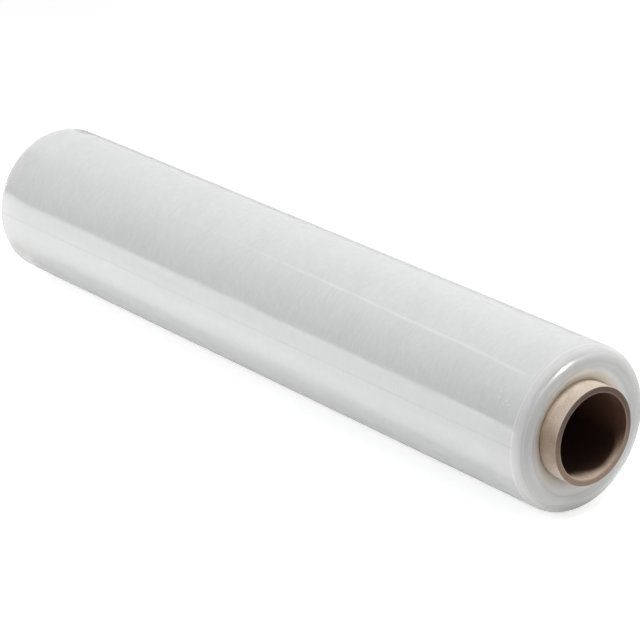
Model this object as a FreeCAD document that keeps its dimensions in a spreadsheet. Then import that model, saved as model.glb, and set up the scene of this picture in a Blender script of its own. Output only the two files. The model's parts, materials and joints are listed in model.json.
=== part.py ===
import FreeCAD, Part
import Sketcher
import math
import os

# A hand roll of clear stretch film, lying on its side: the film wound into one firm
# roll, and the cardboard tube that it is wound on, which stands out at both ends.
#
# Row frame: +X along the roll's axis, +Z up, and the origin on the ground under the
# middle of the roll. Both pieces are modelled about their own axis and lifted by the
# height at which that axis lies. All lengths are in millimetres.

# alias, value, what it is
SIZES = [
    ("film_width", 500.0, "film roll, from the foremost plane of one end to the other"),
    ("film_diameter", 97.0, "film roll, outside"),
    ("lip_radius", 9.0, "rounded lip between the film's side and its ends"),
    ("lip_turn_in", 27.0, "how far the lip rounds on past its foremost plane, in degrees"),
    ("dish_depth", 4.5, "how far the film lies back from its lip where it meets the core"),
    ("groove_count", 5.0, "grooves between the turns that stand proud on each lip"),
    ("groove_first", 2.2, "from the side to the first groove, along the lip"),
    ("groove_pitch", 1.9, "from one groove to the next, along the lip"),
    ("groove_width", 0.9, "mouth of a groove"),
    ("groove_depth", 0.25, "how deep a groove goes into the lip"),
    ("flat_width", 11.0, "flat spot that the soft roll has pressed where it lies"),
    ("core_bore", 50.0, "cardboard core, inside diameter"),
    ("core_wall", 3.5, "cardboard core, wall"),
    ("core_overhang", 8.0, "how far the core stands out of the film at each end"),
    ("core_chamfer", 0.4, "dulled cut edges of the core"),
]
VALUE = {alias: value for alias, value, note in SIZES}

# Lengths that follow from the sizes, as formulas over the sheet
FILM_RADIUS = "Sizes.film_diameter / 2"
CORE_RADIUS = "(Sizes.core_bore / 2 + Sizes.core_wall)"
AXIS_HEIGHT = "sqrt(pow(Sizes.film_diameter / 2; 2) - pow(Sizes.flat_width / 2; 2))"
LIP_CENTRE_X = "(Sizes.film_width / 2 - Sizes.lip_radius)"
LIP_CENTRE_Y = "(Sizes.film_diameter / 2 - Sizes.lip_radius)"

# How far a groove's cutting section stands out of the lip, as a share of its depth
GROOVE_CLEAR = 0.5
# Volume of the whole roll against one half, below which the mirrored half is missing
WHOLE_TO_HALF = 1.99

doc = FreeCAD.newDocument("stretch_wrap_roll")


def make_sheet():
    """The spreadsheet with one row for each driving size."""
    sheet = doc.addObject("Spreadsheet::Sheet", "Sizes")
    for row, (alias, value, note) in enumerate(SIZES, start=1):
        sheet.set(f"A{row}", alias)
        sheet.set(f"B{row}", str(value))
        sheet.setAlias(f"B{row}", alias)
        sheet.set(f"C{row}", note)
    doc.recompute()
    return sheet


def make_body(name, height_formula):
    """A body with its own label, lifted to the height of the roll's axis."""
    body = doc.addObject("PartDesign::Body", name)
    body.Label = name
    body.setExpression("Placement.Base.z", height_formula)
    return body


def origin_plane(body, role):
    """One of the body's own origin planes, such as XZ_Plane."""
    return next(plane for plane in body.Origin.OriginFeatures if plane.Role == role)


def make_sketch(body, name, role):
    """A sketch on one of the body's own origin planes."""
    sketch = body.newObject("Sketcher::SketchObject", name)
    sketch.AttachmentSupport = [(origin_plane(body, role), "")]
    sketch.MapMode = "FlatFace"
    return sketch


def drive(sketch, kind, *where, name, value, formula):
    """Add a dimension to a sketch and bind it to the sheet."""
    index = sketch.addConstraint(Sketcher.Constraint(kind, *where, value))
    sketch.renameConstraint(index, name)
    sketch.setExpression(f"Constraints.{name}", formula)


def point(x, y):
    """A point in a sketch's plane."""
    return FreeCAD.Vector(x, y, 0)


def film_profile(body):
    """Half of the film roll's section: core side, dished end, rounded lip, outer side."""
    film_radius = VALUE["film_diameter"] / 2
    core_radius = VALUE["core_bore"] / 2 + VALUE["core_wall"]
    lip = VALUE["lip_radius"]
    turn_in = math.radians(VALUE["lip_turn_in"])
    centre = point(VALUE["film_width"] / 2 - lip, film_radius - lip)
    foot = point(VALUE["film_width"] / 2 - VALUE["dish_depth"], core_radius)
    lip_end = point(centre.x + lip * math.cos(turn_in), centre.y - lip * math.sin(turn_in))
    lip_top = point(centre.x, film_radius)
    circle = Part.Circle(centre, FreeCAD.Vector(0, 0, 1), lip)

    sketch = make_sketch(body, "film_profile", "XZ_Plane")
    bore = sketch.addGeometry(Part.LineSegment(point(0, core_radius), foot))
    dish = sketch.addGeometry(Part.LineSegment(foot, lip_end))
    arc = sketch.addGeometry(Part.ArcOfCircle(circle, -turn_in, math.pi / 2))
    side = sketch.addGeometry(Part.LineSegment(lip_top, point(0, film_radius)))
    middle = sketch.addGeometry(Part.LineSegment(point(0, film_radius), point(0, core_radius)))
    # A line's points are 1 and 2, an arc's centre is 3, and -1 with 1 is the origin
    sketch.addConstraint(Sketcher.Constraint("Coincident", bore, 2, dish, 1))
    sketch.addConstraint(Sketcher.Constraint("Coincident", dish, 2, arc, 1))
    sketch.addConstraint(Sketcher.Constraint("Tangent", arc, 2, side, 1))
    sketch.addConstraint(Sketcher.Constraint("Coincident", side, 2, middle, 1))
    sketch.addConstraint(Sketcher.Constraint("Coincident", middle, 2, bore, 1))
    sketch.addConstraint(Sketcher.Constraint("Horizontal", bore))
    sketch.addConstraint(Sketcher.Constraint("Horizontal", side))
    sketch.addConstraint(Sketcher.Constraint("Vertical", middle))
    sketch.addConstraint(Sketcher.Constraint("PointOnObject", bore, 1, -2))
    drive(sketch, "DistanceY", -1, 1, bore, 1, name="core_side", value=core_radius, formula=CORE_RADIUS)
    drive(sketch, "DistanceY", -1, 1, side, 2, name="outer_side", value=film_radius, formula=FILM_RADIUS)
    drive(sketch, "Radius", arc, name="lip", value=lip, formula="Sizes.lip_radius")
    drive(sketch, "DistanceX", -1, 1, arc, 3, name="lip_place", value=centre.x, formula=LIP_CENTRE_X)
    drive(sketch, "DistanceY", -1, 1, arc, 1, name="lip_end", value=lip_end.y,
          formula=f"{LIP_CENTRE_Y} - Sizes.lip_radius * sin(Sizes.lip_turn_in)")
    drive(sketch, "DistanceX", -1, 1, bore, 2, name="dish_foot", value=foot.x,
          formula="Sizes.film_width / 2 - Sizes.dish_depth")
    return sketch


def turn_grooves_profile(body):
    """V sections of the grooves between the turns that stand proud, side by side on the lip."""
    lip = VALUE["lip_radius"]
    depth = VALUE["groove_depth"]
    # Where a V's three corners lie: out from the lip's centre, and along the lip from its middle.
    # The two outer corners stand clear of the lip, so its sides are drawn out by as much again.
    outer = (lip + GROOVE_CLEAR * depth, f"(Sizes.lip_radius + {GROOVE_CLEAR} * Sizes.groove_depth)")
    inner = (lip - depth, "(Sizes.lip_radius - Sizes.groove_depth)")
    half_mouth = VALUE["groove_width"] / 2 * (1 + GROOVE_CLEAR)
    half_mouth_formula = f"Sizes.groove_width / 2 * (1 + {GROOVE_CLEAR})"
    corners = (("before", outer, -half_mouth, f"- {half_mouth_formula}"),
               ("bottom", inner, 0, ""),
               ("after", outer, half_mouth, f"+ {half_mouth_formula}"))

    sketch = make_sketch(body, "turn_grooves_profile", "XZ_Plane")
    for index in range(int(VALUE["groove_count"])):
        middle = VALUE["groove_first"] + index * VALUE["groove_pitch"]
        points, formulas = [], []
        for corner, (reach, reach_formula), shift, shift_formula in corners:
            angle = (middle + shift) / lip
            points.append(point(VALUE["film_width"] / 2 - lip + reach * math.sin(angle),
                                VALUE["film_diameter"] / 2 - lip + reach * math.cos(angle)))
            along = f"(Sizes.groove_first + {index} * Sizes.groove_pitch {shift_formula})"
            turned = f"({along} / Sizes.lip_radius * 180 / pi)"
            formulas.append((corner, f"{LIP_CENTRE_X} + {reach_formula} * sin({turned})",
                             f"{LIP_CENTRE_Y} + {reach_formula} * cos({turned})"))
        lines = [sketch.addGeometry(Part.LineSegment(begin, end))
                 for begin, end in zip(points, points[1:] + points[:1])]
        for line, following in zip(lines, lines[1:] + lines[:1]):
            sketch.addConstraint(Sketcher.Constraint("Coincident", line, 2, following, 1))
        for line, place, (corner, out_formula, up_formula) in zip(lines, points, formulas):
            drive(sketch, "DistanceX", -1, 1, line, 1, name=f"{corner}_out_{index}", value=place.x,
                  formula=out_formula)
            drive(sketch, "DistanceY", -1, 1, line, 1, name=f"{corner}_up_{index}", value=place.y,
                  formula=up_formula)
    return sketch


def flat_spot_profile(body):
    """A rectangle below the flat spot, across the whole roll."""
    half = VALUE["film_diameter"] / 2
    axis_height = math.sqrt(half ** 2 - (VALUE["flat_width"] / 2) ** 2)
    left_low, right_low = point(-half, -2 * half), point(half, -2 * half)
    right_top, left_top = point(half, -axis_height), point(-half, -axis_height)
    corners = [left_low, right_low, right_top, left_top]

    sketch = make_sketch(body, "flat_spot_profile", "YZ_Plane")
    lines = []
    for start, end in zip(corners, corners[1:] + corners[:1]):
        lines.append(sketch.addGeometry(Part.LineSegment(start, end)))
    low, right, top, left = lines
    for line, following in zip(lines, lines[1:] + lines[:1]):
        sketch.addConstraint(Sketcher.Constraint("Coincident", line, 2, following, 1))
    for line in (low, top):
        sketch.addConstraint(Sketcher.Constraint("Horizontal", line))
    for line in (right, left):
        sketch.addConstraint(Sketcher.Constraint("Vertical", line))
    drive(sketch, "DistanceX", left, 1, -1, 1, name="left_reach", value=half, formula=FILM_RADIUS)
    drive(sketch, "DistanceX", -1, 1, right, 2, name="right_reach", value=half, formula=FILM_RADIUS)
    drive(sketch, "DistanceY", top, 1, -1, 1, name="flat_drop", value=axis_height, formula=AXIS_HEIGHT)
    drive(sketch, "DistanceY", low, 1, -1, 1, name="low_drop", value=2 * half,
          formula="Sizes.film_diameter")
    return sketch


def make_film_roll():
    """The wound film: turned section, grooves of its turns at both ends, flat spot below."""
    body = make_body("film_roll", AXIS_HEIGHT)

    profile = film_profile(body)
    turned = body.newObject("PartDesign::Revolution", "half_roll")
    turned.Profile = profile
    turned.ReferenceAxis = (profile, ["H_Axis"])
    turned.Angle = 360

    sections = turn_grooves_profile(body)
    grooves = body.newObject("PartDesign::Groove", "turn_grooves")
    grooves.Profile = sections
    grooves.ReferenceAxis = (sections, ["H_Axis"])
    grooves.Angle = 360

    both_ends = body.newObject("PartDesign::Mirrored", "both_ends")
    both_ends.Originals = [turned, grooves]
    both_ends.MirrorPlane = (origin_plane(body, "YZ_Plane"), [""])
    both_ends.Refine = True
    body.Tip = both_ends

    flat = body.newObject("PartDesign::Pocket", "flat_spot")
    flat.Profile = flat_spot_profile(body)
    flat.Type = "ThroughAll"
    flat.SideType = "Symmetric"
    body.Tip = flat
    return body, [turned, grooves, both_ends, flat]


def make_core_tube():
    """The cardboard tube: a plain wall, cut square, with its cut edges dulled."""
    body = make_body("core_tube", AXIS_HEIGHT)

    section = make_sketch(body, "core_section", "YZ_Plane")
    bore_radius = VALUE["core_bore"] / 2
    rings = (("bore", bore_radius, "Sizes.core_bore / 2"),
             ("outside", bore_radius + VALUE["core_wall"], CORE_RADIUS))
    for name, radius, formula in rings:
        ring = section.addGeometry(Part.Circle(point(0, 0), FreeCAD.Vector(0, 0, 1), radius))
        section.addConstraint(Sketcher.Constraint("Coincident", ring, 3, -1, 1))
        drive(section, "Radius", ring, name=name, value=radius, formula=formula)

    tube = body.newObject("PartDesign::Pad", "tube")
    tube.Profile = section
    tube.SideType = "Symmetric"
    tube.setExpression("Length", "Sizes.film_width + 2 * Sizes.core_overhang")
    doc.recompute()

    # The four circles are the inner and outer edges of the two cut ends
    cut_edges = [f"Edge{number}" for number, edge in enumerate(tube.Shape.Edges, start=1)
                 if isinstance(edge.Curve, Part.Circle)]
    dulled = body.newObject("PartDesign::Chamfer", "dulled_edges")
    dulled.Base = (tube, cut_edges)
    dulled.setExpression("Size", "Sizes.core_chamfer")
    body.Tip = dulled
    return body, [tube, dulled]


def check_document():
    """Stop if any object failed to build, or a body has no valid single solid."""
    for item in doc.Objects:
        if "Invalid" in item.State or "Error" in item.State:
            raise RuntimeError(f"{item.Name} failed: {item.State}")
    for body in (film_roll, core_tube):
        if body.Shape.isNull() or not body.Shape.isValid() or len(body.Shape.Solids) != 1:
            raise RuntimeError(f"{body.Label} is not one valid solid")


def check_cuts():
    """Stop if a feature that should take material away left the volume as it was."""
    turned, grooves, both_ends, flat = film_features
    tube, dulled = core_features
    for before, after in ((turned, grooves), (both_ends, flat), (tube, dulled)):
        if after.Shape.Volume >= before.Shape.Volume:
            raise RuntimeError(f"{after.Name} cut nothing")
    if both_ends.Shape.Volume < WHOLE_TO_HALF * grooves.Shape.Volume:
        raise RuntimeError("the second end of the film roll is missing")


make_sheet()
film_roll, film_features = make_film_roll()
core_tube, core_features = make_core_tube()
doc.recompute()
check_document()
check_cuts()

os.makedirs("parts", exist_ok=True)
for body in (film_roll, core_tube):
    body.Shape.exportStep(f"parts/{body.Label}.step")
    extent = body.Shape.optimalBoundingBox(False, False)
    print(f"{body.Label}: volume {body.Shape.Volume / 1000:.1f} cm3, "
          f"X {extent.XMin:.2f} to {extent.XMax:.2f}, Z {extent.ZMin:.2f} to {extent.ZMax:.2f}")
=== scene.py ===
import json
import math

import bpy
import numpy as np
from mathutils import Euler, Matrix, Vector


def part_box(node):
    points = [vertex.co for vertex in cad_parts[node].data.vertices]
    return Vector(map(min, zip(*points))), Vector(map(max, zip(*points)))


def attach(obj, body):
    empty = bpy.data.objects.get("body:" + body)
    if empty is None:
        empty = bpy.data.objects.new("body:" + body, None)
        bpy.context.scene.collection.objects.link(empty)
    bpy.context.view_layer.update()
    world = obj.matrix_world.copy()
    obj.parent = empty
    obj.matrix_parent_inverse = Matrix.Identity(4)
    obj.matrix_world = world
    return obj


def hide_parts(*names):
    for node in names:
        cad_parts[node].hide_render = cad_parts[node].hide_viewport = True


# The looks of a hand roll of clear stretch film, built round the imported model.
# Row frame: +X along the roll's axis, towards the end that shows, and +Z up from the
# ground that it lies on. Lengths are in metres and angles in degrees, unless a name says
# otherwise. An angle round the roll is the elevation of the surface's normal: 0 faces
# -Y, 90 faces up and 180 faces +Y.

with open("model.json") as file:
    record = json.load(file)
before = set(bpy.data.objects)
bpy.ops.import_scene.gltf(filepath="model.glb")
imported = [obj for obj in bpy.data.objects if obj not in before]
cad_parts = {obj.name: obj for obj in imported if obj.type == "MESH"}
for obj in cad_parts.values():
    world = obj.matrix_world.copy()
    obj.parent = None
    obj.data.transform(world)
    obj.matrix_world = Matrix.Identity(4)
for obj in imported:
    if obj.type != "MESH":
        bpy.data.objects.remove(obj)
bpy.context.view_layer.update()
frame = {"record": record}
FILM_LOW, FILM_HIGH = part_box("film_roll")
CORE_LOW, CORE_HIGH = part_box("core_tube")

# Sizes from the frame
FILM_RADIUS = (FILM_HIGH.y - FILM_LOW.y) / 2
FILM_HALF = FILM_HIGH.x
CORE_RADIUS = (CORE_HIGH.y - CORE_LOW.y) / 2
CORE_HALF = CORE_HIGH.x
AXIS_Z = (CORE_HIGH.z + CORE_LOW.z) / 2
BORE_RADIUS = next(mount["dims"]["r_mm"] for mount in frame["record"]["mounts"]
                   if mount["name"] == "core_bore") / 1000

# The solids' own forms: the film roll's lips, dish and grooves, and the core's dulled edges
LIP_RADIUS = 0.009
LIP_TURN_IN = 27.0
DISH_DEPTH = 0.0045
GROOVE_COUNT = 5
GROOVE_FIRST = 0.0022
GROOVE_PITCH = 0.0019
GROOVE_WIDTH = 0.0009
GROOVE_DEPTH = 0.00025
CORE_CHAMFER = 0.0004

# How the scene's grooves differ from the solid's: how far each wanders, how much wider each is,
# its mean strength and how that varies, and its least and greatest strength
GROOVE_WANDER = 0.0003
GROOVE_SPREAD = 1.6
GROOVE_MEAN = 0.12
GROOVE_VARIES = 0.2
GROOVE_LIMITS = (0.02, 0.6)

# Finer relief of the film
RIDGE_COUNT = 24
RIDGE_PITCH = 0.0009
RIDGE_WIDTH = RIDGE_PITCH * 0.7
RIDGE_HEIGHT = 0.00003
RIDGE_WANDER = 0.00015
LIP_BLEND = 0.0012
SIDE_BLEND = 0.002
DISH_BLEND = 0.001
GAUGE_DIP = 0.00006
GAUGE_WAVES = (41.0, 97.0)
UNROUND_DIP = 0.00003
UNROUND_FULL = 0.2
LIP_THINNING = 0.0022
LIP_FULL_AT = 10.0
SKIN = 0.00002
CORE_GAP = 0.0003

# The crease that runs along the film: where it lies at several places along the roll,
# as distance in from the near end and angle round the roll
CREASE_ROUTE = ((0.000, 50.6), (0.012, 50.7), (0.029, 51.1), (0.048, 52.4), (0.097, 52.7),
                (0.145, 53.9), (0.194, 54.6), (0.242, 55.0), (0.291, 56.0))
CREASE_WIDTH = 0.0013
CREASE_HEIGHT = 0.00007

# The distances in from the near end between which the crease starts, weakens and ends, how much
# it weakens, and how it wavers and varies: size, and turns per metre in radians
CREASE_START = (0.006, 0.024)
CREASE_WEAKENS = (0.15, 0.27)
CREASE_LOSS = 0.75
CREASE_END = (0.28, 0.36)
CREASE_WAVER = 0.0035
CREASE_WAVER_TURNS = (150, 61)
CREASE_VARIES = 0.22
CREASE_VARIES_TURNS = 210

# Depths below the full radius between which the crease's painted highlight and the tail edge's colour fade
MARKS_FADE = (0.0012, 0.0003)

# The film's loose tail edge, pressed down along the roll: its angle at the far and near ends
TAIL_FAR = 1.9
TAIL_NEAR = 2.6
TAIL_STEP = 0.00004
TAIL_WIDTH = 0.0009
TAIL_FADE = 0.03

# The cardboard tube: the plain run before each cut end, and the fur of a cut
CORE_END_RUN = 0.003
CORE_FUR = 0.00009

# Mesh fineness, and how far beyond the crease and the tail edge it is finer, in degrees
FILM_TURNS = 360
CREASE_STEPS = 60
CREASE_MARGIN = 2.6
TAIL_STEPS = 24
TAIL_MARGIN = 1.6
STEP_CLEARANCE = 0.2
SIDE_STATIONS = 76
LIP_STATIONS = 58
DISH_STATIONS = 12
CORE_TURNS = 220
CORE_STATIONS = 40
CUT_STATIONS = 12
CHAMFER_STATIONS = 4

# Camera, as fitted to the photograph
CAMERA_PLACE = (1.24308, -1.00911, 0.67932)
CAMERA_PITCH = 68.124
CAMERA_AZIMUTH = 50.341
CAMERA_LENS = 159.826
CAMERA_SENSOR = 36.0

RANDOM = np.random.RandomState(7)


def smooth(value, low, high):
    """0 below low, 1 above high and a smooth rise between them."""
    share = np.clip((value - low) / (high - low), 0.0, 1.0)
    return share * share * (3 - 2 * share)


def bump(value, width):
    """A smooth hump of height 1 at 0 that has half its height at half the width."""
    return np.exp(-4 * math.log(2) * (value / width) ** 2)


def waves(angle, count, seed):
    """A gentle wander round the roll, between about -1 and 1, that closes on itself."""
    random = np.random.RandomState(seed)
    total = np.zeros_like(angle)
    for order in range(1, count + 1):
        strength = random.normal() / order ** 0.5
        total = total + strength * np.sin(order * angle + random.uniform(0, 2 * math.pi))
    return total / count ** 0.5


# The film roll's mesh

def film_angles():
    """Angles round the roll in radians, closer together at the crease and the tail edge."""
    coarse = np.linspace(0, 360, FILM_TURNS, endpoint=False)
    first, last = CREASE_ROUTE[0][1], CREASE_ROUTE[-1][1]
    crease = np.linspace(first - CREASE_MARGIN, last + CREASE_MARGIN, CREASE_STEPS)
    tail = np.linspace(TAIL_FAR - TAIL_MARGIN, TAIL_NEAR + TAIL_MARGIN, TAIL_STEPS)
    for fine in (crease, tail):
        coarse = coarse[(coarse < fine[0] - STEP_CLEARANCE) | (coarse > fine[-1] + STEP_CLEARANCE)]
    return np.radians(np.sort(np.concatenate([coarse, crease, tail])))


def lip_radius(angle, thinning):
    """The lip's own radius round the roll: the end that shows is squarer on its far side."""
    return LIP_RADIUS - thinning * (0.5 - 0.5 * np.cos(angle - math.radians(LIP_FULL_AT)))


def end_stations(lip):
    """Half of the film's section at each angle: x, radius, outward normal and way along the lip."""
    centre_x = FILM_HALF - lip
    centre_r = FILM_RADIUS - lip
    share = np.linspace(0, 1, SIDE_STATIONS // 2, endpoint=False)[None, :]
    full = np.ones((len(lip), SIDE_STATIONS // 2))
    side = (share * centre_x, FILM_RADIUS * full, 0.0 * full, full, (share - 1) * centre_x)
    turn = np.linspace(0, math.pi / 2 + math.radians(LIP_TURN_IN), LIP_STATIONS)[None, :]
    out, up = np.sin(turn), np.cos(turn)
    whole = np.ones_like(lip)
    rounded = (centre_x + lip * out, centre_r + lip * up, whole * out, whole * up, lip * turn)
    end_x, end_r, _, _, end_way = (values[:, -1:] for values in rounded)
    run, rise = FILM_HALF - DISH_DEPTH - end_x, CORE_RADIUS + CORE_GAP - end_r
    length = np.hypot(run, rise)
    share = np.linspace(0, 1, DISH_STATIONS + 1)[None, 1:]
    level = np.ones_like(share)
    dish = (end_x + share * run, end_r + share * rise, -rise / length * level, run / length * level,
            end_way + share * length)
    return [np.concatenate(parts, axis=1) for parts in zip(side, rounded, dish)]


def lip_relief(way, angle, seed):
    """How far the turns stand back from the lip's full form, along the lip and round the roll."""
    random = np.random.RandomState(seed)
    depth = np.zeros(np.broadcast(way, angle).shape)
    for index in range(GROOVE_COUNT):
        place = GROOVE_FIRST + index * GROOVE_PITCH + GROOVE_WANDER * waves(angle, 3, seed + index)
        strength = GROOVE_MEAN + GROOVE_VARIES * waves(angle, 4, seed + 20 + index)
        hollow = bump(way - place, GROOVE_WIDTH * GROOVE_SPREAD)
        depth = depth + GROOVE_DEPTH * np.clip(strength, *GROOVE_LIMITS) * hollow
    for index in range(RIDGE_COUNT):
        place = (index + random.uniform(0.1, 0.9)) * RIDGE_PITCH
        place = place + RIDGE_WANDER * waves(angle, 5, seed + 40 + index)
        strength = random.uniform(0.2, 1.0) * (0.6 + 0.4 * waves(angle, 5, seed + 80 + index))
        depth = depth + RIDGE_HEIGHT * np.clip(strength, 0, 1) * bump(way - place, RIDGE_WIDTH)
    return depth * smooth(way, 0.0, LIP_BLEND)


def crease_line(x, angle):
    """How much of the crease is at a point: 1 in the middle of it and 0 away from it."""
    way_in = FILM_HALF - x
    route = np.array(CREASE_ROUTE)
    middle = np.radians(np.interp(way_in, route[:, 0], route[:, 1]))
    first, second = CREASE_WAVER_TURNS
    middle = middle + CREASE_WAVER * np.sin(way_in * first) * np.sin(way_in * second + 1.0)
    strength = smooth(way_in, *CREASE_START) * (1 - CREASE_LOSS * smooth(way_in, *CREASE_WEAKENS))
    strength = strength * (1 - smooth(way_in, *CREASE_END))
    varies = CREASE_VARIES * np.sin(way_in * CREASE_VARIES_TURNS + 2.0)
    return strength * (1 - CREASE_VARIES + varies) * bump((angle - middle) * FILM_RADIUS, CREASE_WIDTH)


def tail_offset(x, angle):
    """How far a point lies above the tail edge, round the roll."""
    edge = TAIL_FAR + (TAIL_NEAR - TAIL_FAR) * (x + FILM_HALF) / (2 * FILM_HALF)
    return (angle - np.radians(edge)) * FILM_RADIUS


def side_relief(x, angle):
    """How far the film's side lies below its full radius: gauge bands, crease and tail edge."""
    first, second = GAUGE_WAVES
    bands = 0.5 + 0.5 * np.sin(x * first + 0.7) * np.sin(x * second + 2.0)
    unround = UNROUND_DIP * (1 + waves(angle, 4, 5)) * smooth(np.abs(x), 0, UNROUND_FULL)
    above = tail_offset(x, angle)
    step = TAIL_STEP * smooth(above, -TAIL_WIDTH / 4, TAIL_WIDTH / 4) * (1 - smooth(above, 0.0, TAIL_FADE))
    beside = CREASE_HEIGHT * (1 - crease_line(x, angle))
    return np.maximum(SKIN + GAUGE_DIP * bands + unround + step + beside, 0.0)


def film_surface():
    """Points of the film roll as rings by stations, from the far bore round to the near bore."""
    angle = film_angles()[:, None]
    rings = []
    for sign, seed, thinning in ((-1, 300, 0.0), (1, 100, LIP_THINNING)):
        x, radius, out, up, way = end_stations(lip_radius(angle, thinning))
        depth = np.where(way > 0, lip_relief(way, angle, seed), 0.0)
        side = side_relief(sign * x, angle) * (1 - smooth(way, 0.0, SIDE_BLEND))
        depth = depth + side + SKIN
        depth = depth * (1 - smooth(way, way[:, -1:] - DISH_BLEND, way[:, -1:]))
        ring = np.stack([sign * (x - out * depth), radius - up * depth], axis=-1)
        rings.append(ring[:, ::-1] if sign < 0 else ring)
    section = np.concatenate([rings[0][:, :-1], rings[1]], axis=1)
    x, radius = section[..., 0], section[..., 1]
    y = -radius * np.cos(angle)
    z = AXIS_Z + radius * np.sin(angle)
    return np.stack([x, y, np.maximum(z, 0.0)], axis=-1)


def closed_mesh(name, points):
    """A mesh through a grid of points that closes round both ways."""
    turns, stations = points.shape[:2]
    index = np.arange(turns * stations).reshape(turns, stations)
    across = np.roll(index, -1, axis=0)
    faces = np.stack([index, np.roll(index, -1, axis=1), np.roll(across, -1, axis=1), across], axis=-1)
    mesh = bpy.data.meshes.new(name)
    mesh.from_pydata(points.reshape(-1, 3).tolist(), [], faces.reshape(-1, 4).tolist())
    mesh.validate()
    mesh.polygons.foreach_set("use_smooth", np.ones(len(mesh.polygons), dtype=bool))
    piece = bpy.data.objects.new(name, mesh)
    bpy.context.scene.collection.objects.link(piece)
    return piece


def paint(piece, name, values):
    """Keep a number for each point of a mesh, for its material to read."""
    layer = piece.data.attributes.new(name, "FLOAT", "POINT")
    layer.data.foreach_set("value", np.ravel(values))


def make_film():
    """The wound film, with the places of its crease and of its tail edge."""
    points = film_surface()
    piece = closed_mesh("wound_film", points)
    angle = film_angles()[:, None]
    radius = np.hypot(points[..., 1], points[..., 2] - AXIS_Z)
    gone, full = MARKS_FADE
    on_side = smooth(radius, FILM_RADIUS - gone, FILM_RADIUS - full)
    paint(piece, "crease", crease_line(points[..., 0], angle) * on_side)
    paint(piece, "tail", bump(tail_offset(points[..., 0], angle), TAIL_WIDTH) * on_side)
    return piece


def core_section():
    """Points of the tube's section as x and radius: outside, near cut, bore and far cut."""
    run = np.linspace(-CORE_HALF + CORE_END_RUN, CORE_HALF - CORE_END_RUN, CORE_STATIONS)
    outer = [(x, CORE_RADIUS) for x in run]
    bore = [(x, BORE_RADIUS) for x in reversed(run)]
    edge = [(CORE_HALF - CORE_CHAMFER * (1 - math.sin(turn)), CORE_CHAMFER * (1 - math.cos(turn)))
            for turn in np.linspace(0, math.pi / 2, CHAMFER_STATIONS)]
    flat = np.linspace(CORE_RADIUS - CORE_CHAMFER, BORE_RADIUS + CORE_CHAMFER, CUT_STATIONS)
    near = [(x, CORE_RADIUS - drop) for x, drop in edge]
    near += [(CORE_HALF, radius) for radius in flat[1:-1]]
    near += [(x, BORE_RADIUS + drop) for x, drop in reversed(edge)]
    far = [(-x, radius) for x, radius in reversed(near)]
    return np.array(outer + near + bore + far)


def make_core():
    """The cardboard tube, with dulled and slightly furred cut ends."""
    angle = np.linspace(0, 2 * math.pi, CORE_TURNS, endpoint=False)[:, None]
    section = core_section()
    x = np.broadcast_to(section[None, :, 0], (CORE_TURNS, len(section)))
    radius = section[None, :, 1]
    on_cut = smooth(np.abs(x), CORE_HALF - 2 * CORE_CHAMFER, CORE_HALF)
    fur = CORE_FUR * on_cut * (1 + RANDOM.uniform(-1, 1, x.shape)) * np.sign(x)
    points = np.stack([x - fur, -radius * np.cos(angle), AXIS_Z + radius * np.sin(angle)], axis=-1)
    return closed_mesh("cardboard_core", points)


# Materials

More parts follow.
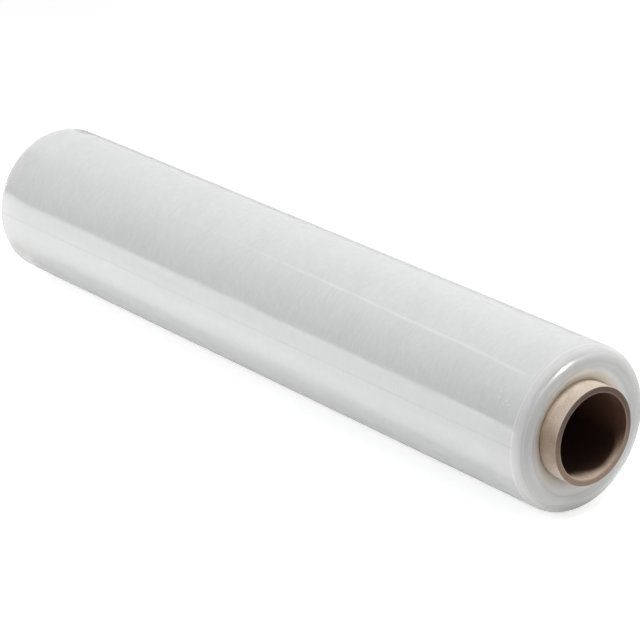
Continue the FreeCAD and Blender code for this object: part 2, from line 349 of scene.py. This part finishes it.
class Shader:
    """A material's node tree, with short calls for its nodes and links."""

    def __init__(self, name):
        self.material = bpy.data.materials.new(name)
        self.material.use_nodes = True
        self.tree = self.material.node_tree
        self.principled = self.tree.nodes["Principled BSDF"]
        self.output = self.tree.nodes["Material Output"]

    def node(self, kind, **settings):
        """Add a node and set its plain properties."""
        made = self.tree.nodes.new(kind)
        for name, value in settings.items():
            setattr(made, name, value)
        return made

    def join(self, source, target):
        """Link an output socket to an input socket."""
        self.tree.links.new(source, target)

    def feed(self, socket, value):
        """Link an output to a socket, or set a plain value on it."""
        if isinstance(value, bpy.types.NodeSocket):
            self.join(value, socket)
        else:
            socket.default_value = value

    def maths(self, operation, first, second=0.0):
        """A maths node's result."""
        made = self.node("ShaderNodeMath", operation=operation)
        for socket, value in zip(made.inputs, (first, second)):
            self.feed(socket, value)
        return made.outputs[0]

    def times(self, first, second):
        """The product of two numbers."""
        return self.maths("MULTIPLY", first, second)

    def plus(self, first, second):
        """The sum of two numbers."""
        return self.maths("ADD", first, second)

    def facing(self, angle, middle):
        """1 at a middle angle round the roll, down to -1 opposite it."""
        return self.maths("COSINE", self.maths("RADIANS", self.maths("SUBTRACT", angle, middle)))

    def rise(self, value, low, high, start=0.0, end=1.0):
        """A smooth rise from start to end as value goes from low to high."""
        made = self.node("ShaderNodeMapRange", interpolation_type="SMOOTHSTEP")
        for name, number in (("Value", value), ("From Min", low), ("From Max", high),
                             ("To Min", start), ("To Max", end)):
            self.feed(made.inputs[name], number)
        return made.outputs[0]

    def window(self, value, low, full, past, high):
        """A rise from 0 to 1 between low and full, and a fall back to 0 between past and high."""
        return self.times(self.rise(value, low, full), self.rise(value, past, high, 1.0, 0.0))

    def mix(self, share, first, second):
        """A mix of two colours."""
        made = self.node("ShaderNodeMix", data_type="RGBA")
        self.feed(made.inputs[0], share)
        self.feed(made.inputs[6], first)
        self.feed(made.inputs[7], second)
        return made.outputs[2]

    def place(self):
        """The point on the object, in metres from the middle of the ground below it."""
        return self.node("ShaderNodeTexCoord").outputs["Object"]

    def noise(self, vector, stretch, detail, roughness):
        """Noise over a stretched copy of a vector."""
        scaled = self.node("ShaderNodeVectorMath", operation="MULTIPLY")
        self.join(vector, scaled.inputs[0])
        scaled.inputs[1].default_value = stretch
        made = self.node("ShaderNodeTexNoise")
        self.join(scaled.outputs[0], made.inputs["Vector"])
        made.inputs["Scale"].default_value = 1.0
        made.inputs["Detail"].default_value = detail
        made.inputs["Roughness"].default_value = roughness
        return made.outputs["Fac"]

    def painted(self, name):
        """A number that the mesh keeps for each of its points."""
        return self.node("ShaderNodeAttribute", attribute_name=name).outputs["Fac"]

    def polar(self):
        """x along the roll, distance from its axis, and the angle round it in degrees."""
        parts = self.node("ShaderNodeSeparateXYZ")
        self.join(self.place(), parts.inputs[0])
        x, y, z = parts.outputs
        front = self.times(y, -1.0)
        above = self.maths("SUBTRACT", z, AXIS_Z)
        radius = self.maths("SQRT", self.plus(self.times(y, y), self.times(above, above)))
        angle = self.times(self.maths("ARCTAN2", above, front), 180 / math.pi)
        return x, radius, angle

    def bump(self, height, distance, strength=1.0, below=None):
        """A bump node's normal."""
        made = self.node("ShaderNodeBump")
        made.inputs["Strength"].default_value = strength
        made.inputs["Distance"].default_value = distance
        self.join(height, made.inputs["Height"])
        if below is not None:
            self.join(below, made.inputs["Normal"])
        return made.outputs[0]

    def surface(self, tone, normals, settings):
        """Set the surface: its colour, the normals of its sockets by name, and its plain settings."""
        self.join(tone, self.principled.inputs["Base Color"])
        for name, normal in normals.items():
            self.join(normal, self.principled.inputs[name])
        for name, value in settings.items():
            self.principled.inputs[name].default_value = value
        return self.material


def colour(red, green, blue):
    """A colour for a socket, from screen values of 0 to 255."""
    parts = []
    for value in (red, green, blue):
        share = value / 255
        parts.append(share / 12.92 if share <= 0.04045 else ((share + 0.055) / 1.055) ** 2.4)
    return (*parts, 1.0)


FILM_PALE = colour(231.5, 233, 232.5)
FILM_GREY = colour(225, 227, 226.5)
FILM_END = colour(205, 207, 206)
FILM_FOOT_GLOW = colour(240, 242, 241)
FILM_WHITE = colour(250, 250, 250)
FILM_LINE = colour(150, 152, 151)
FILM_TAN_GLOW = colour(246, 230, 215)
FILM_SETTINGS = {"Roughness": 0.2, "IOR": 1.6, "Coat Weight": 1.0, "Coat Roughness": 0.05, "Coat IOR": 1.6,
                 "Subsurface Weight": 1.0, "Subsurface Radius": (1.0, 1.0, 1.0), "Subsurface Scale": 0.04}

# Noise in the film: how fine it is along x, y and z, per metre
STREAKS = (1000, 150, 150)
MOTTLE = (360, 220, 220)
CLOUDS = (55, 30, 30)
GLINT_SPECK_GRAIN = (820, 640, 640)
SCUFF_GRAIN = (700, 260, 260)
TURN_LINES = (900, 9, 9)
RIPPLES = (1000, 90, 90)
DENTS = (600, 850, 850)

# How much of the haze is streaks, mottle and clouds, the range of it that shows, and the angles
# below which it is calmer, by how much
HAZE_SHARES = (0.4, 0.35, 0.25)
HAZE_RANGE = (0.38, 0.62)
CALM_ROUND = (12.0, 24.0)
CALM = 0.55

# Where the painted glint specks and the scuff are: start, full, past and end of a distance in
# from the nearer end or of x, and of the angle round the roll
GLINT_SPECKS_IN = (0.005, 0.009, 0.022, 0.036)
GLINT_SPECKS_ROUND = (23.0, 28.0, 38.0, 46.0)
SCUFF_ALONG = (-0.02, 0.0, 0.004, 0.03)
SCUFF_ROUND = (14.0, 20.0, 24.0, 34.0)
SCUFF_STRENGTH = 0.45

# The pale line round each lip, partly the outermost turns' edges and partly a painted highlight: where it
# is, and how far it reaches out to the side and in
RIM_LINE = FILM_HALF - 0.0066
RIM_OUT = 0.0008
RIM_IN = 0.0010
RIM_HIGHLIGHT_STRENGTH = 0.85

# Where along the roll a lip's own look starts and is full, radii between which the ends take
# their own colours, and how strong the marks are
LIP_FROM = FILM_HALF - LIP_RADIUS
LIP_TO = FILM_HALF - 0.7 * LIP_RADIUS
END_FROM = FILM_RADIUS - 0.0045
END_TO = FILM_RADIUS - 0.001
# Radii and strengths of the painted glow beside the core: paler film, and the core's tan as light through
# the film, strongest at TAN_AT round the roll
FOOT_FULL = CORE_RADIUS + 0.0060
FOOT_END = CORE_RADIUS + 0.0090
TAN_FULL = CORE_RADIUS + 0.0044
TAN_END = CORE_RADIUS + 0.0056
TAN_AT = 60.0
TAN_LEAST = 0.3
TAN_MOST = 0.85
LINES_PALE = 0.22
LINES_DARK = 0.14
CREASE_HIGHLIGHT_STRENGTH = 0.65
TAIL_STRENGTH = 0.12

# Heights of the fine relief, and the part of the side that draws in towards each lip
RIPPLE_HEIGHT = 0.000003
SHOULDER_HEIGHT = 0.0013
SHOULDER_IN = (0.026, 0.004)
LINE_HEIGHT = 0.00007
DENT_HEIGHT = 0.00003
GLINT_SPECK_HEIGHT = 0.00015


def film_haze(shader, angle):
    """How milky the film is: short streaks the way that it is wound, and soft clouds."""
    place = shader.place()
    streaks, mottle, clouds = HAZE_SHARES
    total = shader.times(shader.noise(place, STREAKS, 3.0, 0.6), streaks)
    total = shader.plus(total, shader.times(shader.noise(place, MOTTLE, 3.0, 0.65), mottle))
    total = shader.plus(total, shader.times(shader.noise(place, CLOUDS, 3.0, 0.55), clouds))
    haze = shader.rise(total, *HAZE_RANGE)
    calm = shader.rise(angle, *CALM_ROUND, CALM, 0.0)
    kept = shader.times(haze, shader.maths("SUBTRACT", 1.0, calm))
    return shader.plus(kept, shader.times(calm, 0.5))


def glint_specks_and_scuff(shader, x, angle):
    """Painted glints: small white specks in the outer turns near the lips, high on the front side, and a
    faint scuff further in.
    """
    place = shader.place()
    way_in = shader.maths("SUBTRACT", FILM_HALF, shader.maths("ABSOLUTE", x))
    glint_specked = shader.times(shader.window(way_in, *GLINT_SPECKS_IN), shader.window(angle, *GLINT_SPECKS_ROUND))
    spots = shader.rise(shader.noise(place, GLINT_SPECK_GRAIN, 1.0, 0.4), 0.67, 0.7)
    scuffed = shader.times(shader.window(x, *SCUFF_ALONG), shader.window(angle, *SCUFF_ROUND))
    rubs = shader.rise(shader.noise(place, SCUFF_GRAIN, 3.0, 0.6), 0.52, 0.7, 0.0, SCUFF_STRENGTH)
    return shader.maths("MAXIMUM", shader.times(glint_specked, spots), shader.times(scuffed, rubs))


def turn_lines(shader, x, radius):
    """Fine lines round the lips and the ends, for the edges of the turns."""
    across = shader.maths("SUBTRACT", shader.maths("ABSOLUTE", x), radius)
    parts = shader.node("ShaderNodeSeparateXYZ")
    shader.join(shader.place(), parts.inputs[0])
    vector = shader.node("ShaderNodeCombineXYZ")
    for socket, value in zip(vector.inputs, (across, parts.outputs["Y"], parts.outputs["Z"])):
        shader.join(value, socket)
    return shader.noise(vector.outputs[0], TURN_LINES, 4.0, 0.65)


def rim_line_highlight(shader, x):
    """The pale line round each lip where the outermost turns end, partly a painted highlight."""
    along = shader.maths("ABSOLUTE", x)
    return shader.window(along, RIM_LINE - RIM_OUT, RIM_LINE, RIM_LINE, RIM_LINE + RIM_IN)


def end_tone(shader, tone, x, radius, lip, lines):
    """The film's colour on its lips and its ends, over its colour on the side."""
    tone = shader.mix(shader.rise(radius, END_FROM, END_TO, 1.0, 0.0), tone, FILM_END)
    pale = shader.times(lip, shader.rise(lines, 0.45, 0.7, 0.0, LINES_PALE))
    tone = shader.mix(pale, tone, FILM_WHITE)
    dark = shader.times(lip, shader.rise(lines, 0.3, 0.5, LINES_DARK, 0.0))
    tone = shader.mix(dark, tone, FILM_LINE)
    # The pale rim line, partly a painted highlight
    return shader.mix(shader.times(rim_line_highlight(shader, x), RIM_HIGHLIGHT_STRENGTH), tone, FILM_WHITE)


def foot_glow_tone(shader, tone, radius, angle):
    """The film's colour beside the core: a painted glow, paler film and the core's tan painted as light
    that comes through the film from it, strongest high on the front side.
    """
    tone = shader.mix(shader.rise(radius, FOOT_FULL, FOOT_END, 1.0, 0.0), tone, FILM_FOOT_GLOW)
    shows = shader.rise(radius, TAN_FULL, TAN_END, 1.0, 0.0)
    strong = shader.rise(shader.facing(angle, TAN_AT), -1.0, 1.0, TAN_LEAST, TAN_MOST)
    return shader.mix(shader.times(shows, strong), tone, FILM_TAN_GLOW)


def film_relief(shader, x, lip, lines, glint_specks):
    """The film's fine relief: ripples, shoulders, the turns' edges, dents, and bumps under the painted
    glint specks.
    """
    place = shader.place()
    normal = shader.bump(shader.noise(place, RIPPLES, 3.0, 0.6), RIPPLE_HEIGHT)
    start, end = SHOULDER_IN
    shoulder = shader.rise(shader.maths("ABSOLUTE", x), FILM_HALF - start, FILM_HALF - end, 1.0, 0.0)
    normal = shader.bump(shoulder, SHOULDER_HEIGHT, below=normal)
    normal = shader.bump(shader.times(lip, lines), LINE_HEIGHT, below=normal)
    dents = shader.noise(place, DENTS, 1.0, 0.5)
    normal = shader.bump(shader.times(lip, dents), DENT_HEIGHT, below=normal)
    return shader.bump(glint_specks, GLINT_SPECK_HEIGHT, below=normal)


def film_material():
    """Many clear layers seen as one milky, glossy skin, streaked the way that it is wound."""
    shader = Shader("stretch_film")
    x, radius, angle = shader.polar()
    lines = turn_lines(shader, x, radius)
    lip = shader.rise(shader.maths("ABSOLUTE", x), LIP_FROM, LIP_TO)
    glint_specks = glint_specks_and_scuff(shader, x, angle)
    tone = shader.mix(film_haze(shader, angle), FILM_GREY, FILM_PALE)
    tone = end_tone(shader, tone, x, radius, lip, lines)
    tone = foot_glow_tone(shader, tone, radius, angle)
    # Paler along the crease: a painted highlight on its ridge
    tone = shader.mix(shader.times(shader.painted("crease"), CREASE_HIGHLIGHT_STRENGTH), tone, FILM_WHITE)
    # Painted glints: white specks near the lips, with the faint scuff
    tone = shader.mix(glint_specks, tone, FILM_WHITE)
    tone = shader.mix(shader.times(shader.painted("tail"), TAIL_STRENGTH), tone, FILM_LINE)
    normal = film_relief(shader, x, lip, lines, glint_specks)
    return shader.surface(tone, {"Normal": normal, "Coat Normal": normal}, FILM_SETTINGS)


KRAFT_PALE = colour(250, 239, 226)
KRAFT_DARK = colour(226, 207, 186)
KRAFT_FRONT_SHADE = colour(198, 172, 149)
KRAFT_CUT = colour(152, 126, 107)
KRAFT_CUT_SHADE = colour(92, 67, 52)
KRAFT_MOUTH_LIT = colour(242, 219, 197)
KRAFT_MOUTH_SHADE = colour(132, 98, 80)
KRAFT_DEEP_SHADE = colour(70, 46, 36)
KRAFT_DEEP_LIT = colour(112, 78, 62)
KRAFT_SETTINGS = {"Roughness": 0.8, "IOR": 1.4}

# Noise in the cardboard, per metre, how much of the mottling is blotches and fibres, and the
# fibres' relief
BLOTCHES = (160, 110, 110)
FIBRES = (1700, 1700, 1700)
BLOTCH_SHARE = 0.35
FIBRE_SHARE = 0.65
FIBRE_HEIGHT = 0.0002
FIBRE_STRENGTH = 0.6

# Angles where the outside has painted shade on its side towards the front and where the bore's
# painted lit mouth is shorter: start, full, past and end; the side of the bore with painted light
# deep inside; and the painted lit mouth's depth
FRONT_SHADE_ROUND = (-40.0, 2.0, 6.0, 36.0)
MOUTH_ROUND = (-176, -140, -125, -88)
MOUTH_SHORTER = 1.3
MOUTH_DEPTH = (0.002, 0.014)
DEEP_LIT_AT = 150.0

# The height in the bore, from -1 to 1, between which its mouth and the cut darken towards the top
# with painted shade, the plies of the cut, and its paler inner edge
MOUTH_HEIGHTS = (-0.85, -0.15)
CUT_HEIGHTS = (-0.8, 0.7)
PLY = 0.0007
PLY_STRENGTH = 0.2
EDGE_FROM = BORE_RADIUS + 0.0003
EDGE_TO = BORE_RADIUS + 0.0009
EDGE_STRENGTH = 0.3


def bore_light_and_shade(shader, along, angle, height, share):
    """The bore's painted light and shade: lit at its mouth, most of all low down, and dark with painted
    shade further in.
    """
    # Painted light at the mouth, with painted shade higher up and further in
    mouth = shader.mix(shader.rise(height, *MOUTH_HEIGHTS), KRAFT_MOUTH_LIT, KRAFT_MOUTH_SHADE)
    mouth = shader.mix(shader.rise(share, 0.38, 0.62, 0.4, 0.0), mouth, KRAFT_DEEP_SHADE)
    deep = shader.mix(shader.rise(shader.facing(angle, DEEP_LIT_AT), 0.6, 1.0), KRAFT_DEEP_SHADE, KRAFT_DEEP_LIT)
    depth = shader.maths("SUBTRACT", CORE_HALF, along)
    shorter = shader.plus(1.0, shader.times(shader.window(angle, *MOUTH_ROUND), MOUTH_SHORTER))
    lit = shader.rise(shader.times(depth, shorter), *MOUTH_DEPTH, 1.0, 0.0)
    return shader.mix(lit, deep, mouth)


def cut_tone(shader, radius, height):
    """The cut's colour: plies, darker at the top with painted shade, and paler at the inner edge."""
    tone = shader.mix(shader.rise(height, *CUT_HEIGHTS), KRAFT_CUT, KRAFT_CUT_SHADE)
    plies = shader.maths("SINE", shader.times(radius, 2 * math.pi / PLY))
    tone = shader.mix(shader.rise(plies, -1.0, 1.0, 0.0, PLY_STRENGTH), tone, KRAFT_PALE)
    inner_edge = shader.rise(radius, EDGE_FROM, EDGE_TO, EDGE_STRENGTH, 0.0)
    return shader.mix(inner_edge, tone, KRAFT_DARK)


def kraft_material():
    """Kraft paper wound in plies: mottled outside with painted shade on its side towards the front, darker
    where it is cut, and with painted light and shade in its bore.
    """
    shader = Shader("kraft_cardboard")
    x, radius, angle = shader.polar()
    place = shader.place()
    along = shader.maths("ABSOLUTE", x)
    height = shader.maths("SINE", shader.maths("RADIANS", angle))
    blotches = shader.noise(place, BLOTCHES, 4.0, 0.6)
    fibres = shader.noise(place, FIBRES, 3.0, 0.8)
    share = shader.plus(shader.times(blotches, BLOTCH_SHARE), shader.times(fibres, FIBRE_SHARE))
    tone = shader.mix(shader.rise(share, 0.4, 0.6), KRAFT_DARK, KRAFT_PALE)
    # Painted shade on the side towards the front, mottled by the blotches
    front_shade = shader.times(shader.window(angle, *FRONT_SHADE_ROUND), shader.rise(share, 0.3, 0.7, 0.9, 0.6))
    tone = shader.mix(front_shade, tone, KRAFT_FRONT_SHADE)
    inside = shader.rise(radius, BORE_RADIUS + 0.0001, BORE_RADIUS + 0.0004, 1.0, 0.0)
    tone = shader.mix(inside, tone, bore_light_and_shade(shader, along, angle, height, share))
    cut = shader.rise(along, CORE_HALF - 0.0006, CORE_HALF - 0.0002)
    tone = shader.mix(cut, tone, cut_tone(shader, radius, height))
    normal = shader.bump(fibres, FIBRE_HEIGHT, FIBRE_STRENGTH)
    return shader.surface(tone, {"Normal": normal}, KRAFT_SETTINGS)


# How much the floor glows: as the camera sees it, and more beyond the near end; and as things
# mirror it, with more in front of the roll, far in front of it, and behind its far end
FLOOR_GLOW_SEEN = 0.6
FLOOR_GLOW_END = 0.35
FLOOR_GLOW_MIRRORED = 0.16
FLOOR_GLOW_FRONT = 0.3
FLOOR_GLOW_AFAR = 0.42
FLOOR_GLOW_BEHIND = 0.1
FRONT_Y = (-0.09, -0.06)
AFAR_Y = (-1.5, -0.3)
BEHIND_Y = (0.3, 0.7)
BEHIND_X = (-0.9, -0.3)
BEYOND_X = (0.27, 0.38)
BEYOND_Y = (-0.05, 0.25)

# The floor's colours, with painted shade behind the roll and beyond the near end: where it turns grey and
# pale again behind the roll, and its size
FLOOR_WHITE = (0.93, 0.93, 0.93, 1)
FLOOR_GREY_SHADE = (0.5, 0.5, 0.5, 1)
FLOOR_AFAR = (0.85, 0.85, 0.85, 1)
FLOOR_BEYOND_SHADE = (0.25, 0.25, 0.25, 1)
GREY_Y = (0.05, 0.15)
PALE_Y = (0.35, 0.9)
FLOOR_HALF = 8.0


def floor_glow(shader, x, y, beyond):
    """The floor's own glow, by the kind of ray that meets it. It lights nothing."""
    path = shader.node("ShaderNodeLightPath")
    mirrored = shader.maths("MAXIMUM", path.outputs["Is Glossy Ray"], path.outputs["Is Transmission Ray"])
    shown = shader.plus(FLOOR_GLOW_SEEN, shader.times(beyond, FLOOR_GLOW_END))
    seen = shader.times(path.outputs["Is Camera Ray"], shown)
    front = shader.rise(y, *FRONT_Y, FLOOR_GLOW_MIRRORED + FLOOR_GLOW_FRONT, FLOOR_GLOW_MIRRORED)
    afar = shader.rise(y, *AFAR_Y, FLOOR_GLOW_AFAR, 0.0)
    behind = shader.times(shader.rise(y, *BEHIND_Y), shader.rise(x, *BEHIND_X, FLOOR_GLOW_BEHIND, 0.0))
    level = shader.plus(shader.plus(front, afar), behind)
    return shader.plus(seen, shader.times(mirrored, level))


def floor_tone(shader, y, beyond):
    """The floor's colour: white in front, with painted shade greyer behind and beyond the near end."""
    tone = shader.mix(shader.rise(y, *GREY_Y), FLOOR_WHITE, FLOOR_GREY_SHADE)
    tone = shader.mix(shader.rise(y, *PALE_Y), tone, FLOOR_AFAR)
    return shader.mix(beyond, tone, FLOOR_BEYOND_SHADE)


def floor_material():
    """Matt white with a glow that shows but lights nothing."""
    shader = Shader("floor_white")
    shader.tree.nodes.remove(shader.principled)
    parts = shader.node("ShaderNodeSeparateXYZ")
    shader.join(shader.place(), parts.inputs[0])
    x, y = parts.outputs["X"], parts.outputs["Y"]
    beyond = shader.times(shader.rise(x, *BEYOND_X), shader.rise(y, *BEYOND_Y, 1.0, 0.0))
    matt = shader.node("ShaderNodeBsdfDiffuse")
    shader.join(floor_tone(shader, y, beyond), matt.inputs["Color"])
    glow = shader.node("ShaderNodeEmission")
    shader.join(floor_glow(shader, x, y, beyond), glow.inputs["Strength"])
    both = shader.node("ShaderNodeAddShader")
    shader.join(matt.outputs[0], both.inputs[0])
    shader.join(glow.outputs[0], both.inputs[1])
    shader.join(both.outputs[0], shader.output.inputs["Surface"])
    return shader.material


def make_floor():
    """A large white floor that keeps the roll's shadow and shows as white where it is clear."""
    corners = [(-1, -1), (1, -1), (1, 1), (-1, 1)]
    mesh = bpy.data.meshes.new("floor")
    mesh.from_pydata([(x * FLOOR_HALF, y * FLOOR_HALF, 0) for x, y in corners], [], [(0, 1, 2, 3)])
    floor = bpy.data.objects.new("floor", mesh)
    bpy.context.scene.collection.objects.link(floor)
    mesh.materials.append(floor_material())


# Light and camera

# How bright the room is, by the height of a direction, in four sectors round the roll: to the
# left in front, in front of the near end, beyond it, and behind. Lamps light the rest. A sector
# starts at an azimuth, and blends in over some degrees on both sides of it.
ROOM_LEFT = ((0.006, 0.75), (0.026, 0.1), (0.15, 0.08), (0.28, 0.1), (0.42, 0.15), (0.57, 0.23),
             (0.72, 0.45), (0.85, 0.15))
ROOM_FRONT = ((0.0, 0.12), (0.85, 0.15))
ROOM_END = ((0.17, 0.81), (0.23, 1.19), (0.42, 1.19), (0.5, 0.15))
ROOM_BACK = ((0.0, 0.92), (0.12, 0.8), (0.32, 0.7), (0.6, 0.55), (0.85, 0.15))
SECTORS = ((-95, ROOM_FRONT), (-20, ROOM_END), (60, ROOM_BACK))
SECTOR_BLEND = 10


class Room:
    """The world's node tree, with short calls for its nodes."""

    def __init__(self, name):
        world = bpy.data.worlds.new(name)
        world.use_nodes = True
        bpy.context.scene.world = world
        self.nodes = world.node_tree.nodes
        self.links = world.node_tree.links
        where = self.nodes.new("ShaderNodeTexCoord")
        self.parts = self.nodes.new("ShaderNodeSeparateXYZ")
        self.links.new(where.outputs["Generated"], self.parts.inputs[0])
        turn = self.nodes.new("ShaderNodeMath")
        turn.operation = "ARCTAN2"
        self.links.new(self.parts.outputs["Y"], turn.inputs[0])
        self.links.new(self.parts.outputs["X"], turn.inputs[1])
        self.azimuth = turn.outputs[0]

    def by_height(self, levels):
        """How bright the room is, from the height of the direction."""
        made = self.nodes.new("ShaderNodeValToRGB")
        ramp = made.color_ramp
        while len(ramp.elements) < len(levels):
            ramp.elements.new(0.5)
        for element, (place, level) in zip(ramp.elements, levels):
            element.position = place
            element.color = (level, level, level, 1)
        self.links.new(self.parts.outputs["Z"], made.inputs[0])
        return made.outputs["Color"]

    def beyond(self, edge):
        """A smooth rise from 0 to 1 as the direction's azimuth passes an edge."""
        made = self.nodes.new("ShaderNodeMapRange")
        made.interpolation_type = "SMOOTHSTEP"
        made.inputs["From Min"].default_value = math.radians(edge - SECTOR_BLEND)
        made.inputs["From Max"].default_value = math.radians(edge + SECTOR_BLEND)
        self.links.new(self.azimuth, made.inputs["Value"])
        return made.outputs[0]

    def mix(self, share, first, second):
        """A mix of two levels."""
        made = self.nodes.new("ShaderNodeMix")
        made.data_type = "RGBA"
        self.links.new(share, made.inputs[0])
        self.links.new(first, made.inputs[6])
        self.links.new(second, made.inputs[7])
        return made.outputs[2]


def make_world():
    """A room that is pale behind and dim in front, and that shows as white to the camera."""
    room = Room("soft_room")
    level = room.by_height(ROOM_LEFT)
    for edge, levels in SECTORS:
        level = room.mix(room.beyond(edge), level, room.by_height(levels))
    path = room.nodes.new("ShaderNodeLightPath")
    white = room.nodes.new("ShaderNodeRGB")
    white.outputs[0].default_value = (1, 1, 1, 1)
    level = room.mix(path.outputs["Is Camera Ray"], level, white.outputs[0])
    room.links.new(level, room.nodes["Background"].inputs["Color"])


def make_lamp(name, place, target, size, power):
    """A square soft lamp that faces a point."""
    data = bpy.data.lights.new(name, "AREA")
    data.shape = "SQUARE"
    data.size = size
    data.energy = power
    lamp = bpy.data.objects.new(name, data)
    lamp.location = place
    lamp.rotation_euler = (Vector(target) - Vector(place)).to_track_quat("-Z", "Y").to_euler()
    bpy.context.scene.collection.objects.link(lamp)
    return lamp


# Soft lamps: name, place, the point that it faces, size and power in watts
LAMPS = (("overhead_near", (0.55, 0.15, 1.57), (0.25, 0.0, 0.05), 0.45, 12.8),
         ("overhead_far", (-0.55, 0.35, 1.57), (-0.25, 0.0, 0.05), 0.45, 5.2),
         ("left_front", (-0.85, -1.6, 0.895), (0.0, 0.0, 0.05), 0.7, 12.8))

# Small lamps for glints: place and power in watts
GLINTS = (((1.65, 0.21, 0.60), 0.7), ((1.59, 0.36, 0.66), 1.4),
          ((1.53, 0.50, 0.66), 1.8), ((1.45, 0.67, 0.70), 0.8))
GLINT_TARGET = (0.25, 0.0, 0.05)
GLINT_SIZE = 0.018


def make_lamps():
    """Soft lamps whose own images are kept off the film, and a row of small ones for glints."""
    for settings in LAMPS:
        make_lamp(*settings).visible_glossy = False
    for index, (place, power) in enumerate(GLINTS):
        glint = make_lamp(f"glint_{index + 1}", place, GLINT_TARGET, GLINT_SIZE, power)
        glint.visible_diffuse = False


def make_camera():
    """The camera at the photograph's viewing angle."""
    data = bpy.data.cameras.new("camera")
    data.lens = CAMERA_LENS
    data.sensor_width = CAMERA_SENSOR
    camera = bpy.data.objects.new("camera", data)
    camera.location = CAMERA_PLACE
    camera.rotation_euler = Euler((math.radians(CAMERA_PITCH), 0, math.radians(CAMERA_AZIMUTH)))
    bpy.context.scene.collection.objects.link(camera)
    bpy.context.scene.camera = camera


def dress(piece, node, material):
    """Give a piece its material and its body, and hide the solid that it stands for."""
    piece.data.materials.append(material)
    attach(piece, "root")
    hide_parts(node)


make_camera()
bpy.context.scene.view_settings.view_transform = "Standard"
make_floor()
make_world()
make_lamps()
dress(make_film(), "film_roll", film_material())
dress(make_core(), "core_tube", kraft_material())
